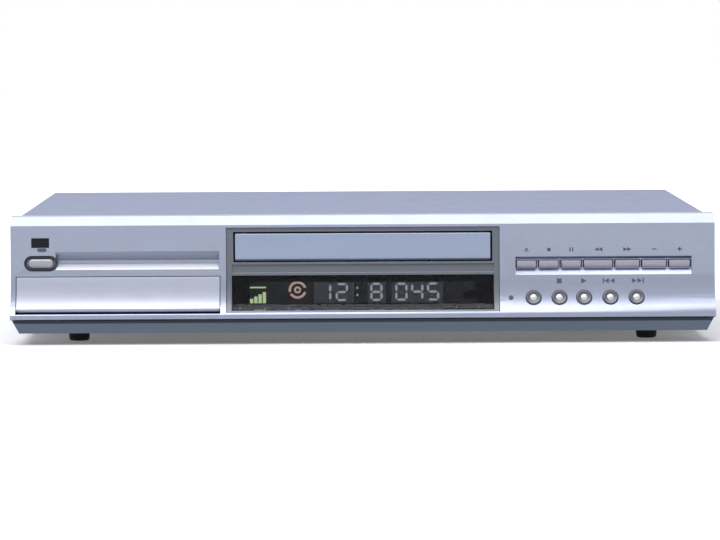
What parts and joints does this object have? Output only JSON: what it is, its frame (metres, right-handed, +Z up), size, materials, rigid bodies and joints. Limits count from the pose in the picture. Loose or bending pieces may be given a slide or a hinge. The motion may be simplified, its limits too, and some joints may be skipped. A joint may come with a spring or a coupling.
{
  "type": "dvd hard disk recorder",
  "caption": "Slim home video recorder with a disc drawer over a display window, a flared chin, a drop-down flap over front sockets, a row of keys, round buttons and a hard disk inside.",
  "frame": {"origin": "on the floor, under the middle of the bounding box", "axes": "+X to the right seen from the front, +Y to the back, +Z up"},
  "size_m": [0.43, 0.337, 0.078],
  "materials": {
    "silver_plastic": "silver paint, satin",
    "cover_paint": "silver paint, fine grain",
    "zinc_sheet": "zinc-plated sheet, dull",
    "rubber": "matt",
    "dark_insert": "dark grey, satin",
    "smoked_window": "smoked, polished",
    "tube_glass": "clear glass over the display's segments",
    "front_board": "green resist on fibreglass",
    "button_plastic": "grey silver, satin",
    "round_plastic": "grey, polished",
    "sensor_plastic": "dark, polished",
    "lamp_plastic": "translucent red",
    "black_plastic": "black, satin",
    "jack_mix": "black body, plated sleeves",
    "screw_steel": "plated",
    "tray_plastic": "dark grey, fine grain",
    "gear_plastic": "natural white",
    "motor_steel": "plated can",
    "belt_rubber": "matt",
    "rod_steel": "ground steel",
    "sled_metal": "die-cast",
    "disk_cast": "cast, dull",
    "disk_lid": "bright",
    "platter_metal": "mirror",
    "main_resist": "green resist on fibreglass",
    "power_resist": "tan paper board",
    "part_mix": "dark cases and sleeves",
    "sink_metal": "extruded",
    "can_tin": "tinned"
  },
  "bodies": {
    "case": {"front_bezel": "silver_plastic", "top_cover": "cover_paint", "chassis_pan": "zinc_sheet", "rear_panel": "zinc_sheet", "feet": "rubber", "cover_screws": "screw_steel", "frame_screws": "screw_steel", "centre_frame": "dark_insert", "display_window": "smoked_window", "display_tube": "tube_glass", "control_board": "front_board", "sensor_window": "sensor_plastic", "standby_lamp": "lamp_plastic", "record_lamp": "lamp_plastic", "jack_panel": "black_plastic", "front_jacks": "jack_mix", "drive_frame": "zinc_sheet", "drive_lid": "zinc_sheet", "loading_motor": "motor_steel", "loading_belt": "belt_rubber", "hdd_case": "disk_cast", "hdd_lid": "disk_lid", "hdd_bracket": "zinc_sheet", "main_board": "main_resist", "main_chips": "part_mix", "power_board": "power_resist", "power_parts": "part_mix", "heat_sinks": "sink_metal", "tuner_can": "can_tin", "rear_jacks": "jack_mix", "ac_inlet": "black_plastic", "fan_frame": "black_plastic"},
    "flap": {"input_flap": "silver_plastic"},
    "tray": {"tray_door": "silver_plastic", "disc_tray": "tray_plastic"},
    "power_button": {"power_button": "button_plastic"},
    "clamp": {"clamp_puck": "tray_plastic"},
    "gear": {"loading_gear": "gear_plastic"},
    "motor_pulley": {"motor_pulley": "gear_plastic"},
    "traverse": {"traverse_plate": "zinc_sheet", "traverse_motors": "motor_steel", "sled_rods": "rod_steel"},
    "turntable": {"turntable": "tray_plastic"},
    "sled": {"optical_sled": "sled_metal"},
    "lead_screw": {"lead_screw": "rod_steel"},
    "platter": {"hdd_platter": "platter_metal"},
    "hdd_arm": {"hdd_arm": "sled_metal"},
    "fan_rotor": {"fan_rotor": "black_plastic"},
    "key_1": {"key_1": "button_plastic"},
    "key_2": {"key_2": "button_plastic"},
    "key_3": {"key_3": "button_plastic"},
    "key_4": {"key_4": "button_plastic"},
    "key_5": {"key_5": "button_plastic"},
    "key_6": {"key_6": "button_plastic"},
    "key_7": {"key_7": "button_plastic"},
    "round_button_1": {"round_button_1": "round_plastic"},
    "round_button_2": {"round_button_2": "round_plastic"},
    "round_button_3": {"round_button_3": "round_plastic"},
    "round_button_4": {"round_button_4": "round_plastic"},
    "round_button_5": {"round_button_5": "round_plastic"}
  },
  "joints": [
    {"name": "tray_slide", "type": "slide", "parent": "case", "child": "tray", "axis": [0, -1, 0], "range_m": [0, 0.14]},
    {"name": "loading_gear_turn", "type": "hinge", "parent": "case", "child": "gear", "pos_m": [-0.0475, -0.124, 0.052], "axis": [0, 0, 1], "range_deg": [0, 1010]},
    {"name": "motor_pulley_turn", "type": "hinge", "parent": "case", "child": "motor_pulley", "pos_m": [-0.014, -0.1225, 0.049], "axis": [0, 0, 1], "range_deg": [0, 3680]},
    {"name": "traverse_lift", "type": "hinge", "parent": "case", "child": "traverse", "pos_m": [0, 0.006, 0.041], "axis": [-1, 0, 0], "range_deg": [0, 5.5]},
    {"name": "turntable_spin", "type": "hinge", "parent": "traverse", "child": "turntable", "pos_m": [0, -0.086, 0.0475], "axis": [0, 0, 1], "continuous": true},
    {"name": "sled_slide", "type": "slide", "parent": "traverse", "child": "sled", "axis": [0, 1, 0], "range_m": [0, 0.034]},
    {"name": "lead_screw_turn", "type": "hinge", "parent": "traverse", "child": "lead_screw", "pos_m": [-0.028, -0.037, 0.0358], "axis": [0, 1, 0], "range_deg": [0, 4090]},
    {"name": "clamp_spin", "type": "hinge", "parent": "case", "child": "clamp", "pos_m": [0, -0.086, 0.068], "axis": [0, 0, 1], "continuous": true},
    {"name": "platter_spin", "type": "hinge", "parent": "case", "child": "platter", "pos_m": [0.1458, -0.063, 0.038], "axis": [0, 0, 1], "continuous": true},
    {"name": "hdd_arm_swing", "type": "hinge", "parent": "case", "child": "hdd_arm", "pos_m": [0.1758, 0, 0.038], "axis": [0, 0, -1], "range_deg": [0, 27.5]},
    {"name": "fan_spin", "type": "hinge", "parent": "case", "child": "fan_rotor", "pos_m": [0.166, 0.152, 0.046], "axis": [0, 1, 0], "continuous": true},
    {"name": "flap_drop", "type": "hinge", "parent": "case", "child": "flap", "pos_m": [-0.149, -0.16347, 0.0218], "axis": [1, 0, 0], "range_deg": [0, 90]},
    {"name": "power_button_press", "type": "slide", "parent": "case", "child": "power_button", "axis": [0, 1, 0], "range_m": [0, 0.001], "stiffness_N_per_m": 250, "springref_m": -0.001},
    {"name": "key_1_press", "type": "slide", "parent": "case", "child": "key_1", "axis": [0, 1, 0], "range_m": [0, 0.001], "stiffness_N_per_m": 250, "springref_m": -0.001},
    {"name": "key_2_press", "type": "slide", "parent": "case", "child": "key_2", "axis": [0, 1, 0], "range_m": [0, 0.001], "stiffness_N_per_m": 250, "springref_m": -0.001},
    {"name": "key_3_press", "type": "slide", "parent": "case", "child": "key_3", "axis": [0, 1, 0], "range_m": [0, 0.001], "stiffness_N_per_m": 250, "springref_m": -0.001},
    {"name": "key_4_press", "type": "slide", "parent": "case", "child": "key_4", "axis": [0, 1, 0], "range_m": [0, 0.001], "stiffness_N_per_m": 250, "springref_m": -0.001},
    {"name": "key_5_press", "type": "slide", "parent": "case", "child": "key_5", "axis": [0, 1, 0], "range_m": [0, 0.001], "stiffness_N_per_m": 250, "springref_m": -0.001},
    {"name": "key_6_press", "type": "slide", "parent": "case", "child": "key_6", "axis": [0, 1, 0], "range_m": [0, 0.001], "stiffness_N_per_m": 250, "springref_m": -0.001},
    {"name": "key_7_press", "type": "slide", "parent": "case", "child": "key_7", "axis": [0, 1, 0], "range_m": [0, 0.001], "stiffness_N_per_m": 250, "springref_m": -0.001},
    {"name": "round_button_1_press", "type": "slide", "parent": "case", "child": "round_button_1", "axis": [0, 0.9098, -0.415], "range_m": [0, 0.001], "stiffness_N_per_m": 250, "springref_m": -0.001},
    {"name": "round_button_2_press", "type": "slide", "parent": "case", "child": "round_button_2", "axis": [0, 0.9098, -0.415], "range_m": [0, 0.001], "stiffness_N_per_m": 250, "springref_m": -0.001},
    {"name": "round_button_3_press", "type": "slide", "parent": "case", "child": "round_button_3", "axis": [0, 0.9098, -0.415], "range_m": [0, 0.001], "stiffness_N_per_m": 250, "springref_m": -0.001},
    {"name": "round_button_4_press", "type": "slide", "parent": "case", "child": "round_button_4", "axis": [0, 0.9098, -0.415], "range_m": [0, 0.001], "stiffness_N_per_m": 250, "springref_m": -0.001},
    {"name": "round_button_5_press", "type": "slide", "parent": "case", "child": "round_button_5", "axis": [0, 0.9098, -0.415], "range_m": [0, 0.001], "stiffness_N_per_m": 250, "springref_m": -0.001}
  ],
  "couplings": [
    {"joint": "loading_gear_turn", "follows": "tray_slide", "rad_per_m": 125},
    {"joint": "motor_pulley_turn", "follows": "tray_slide", "rad_per_m": 455},
    {"joint": "lead_screw_turn", "follows": "sled_slide", "rad_per_m": 2094.4}
  ]
}
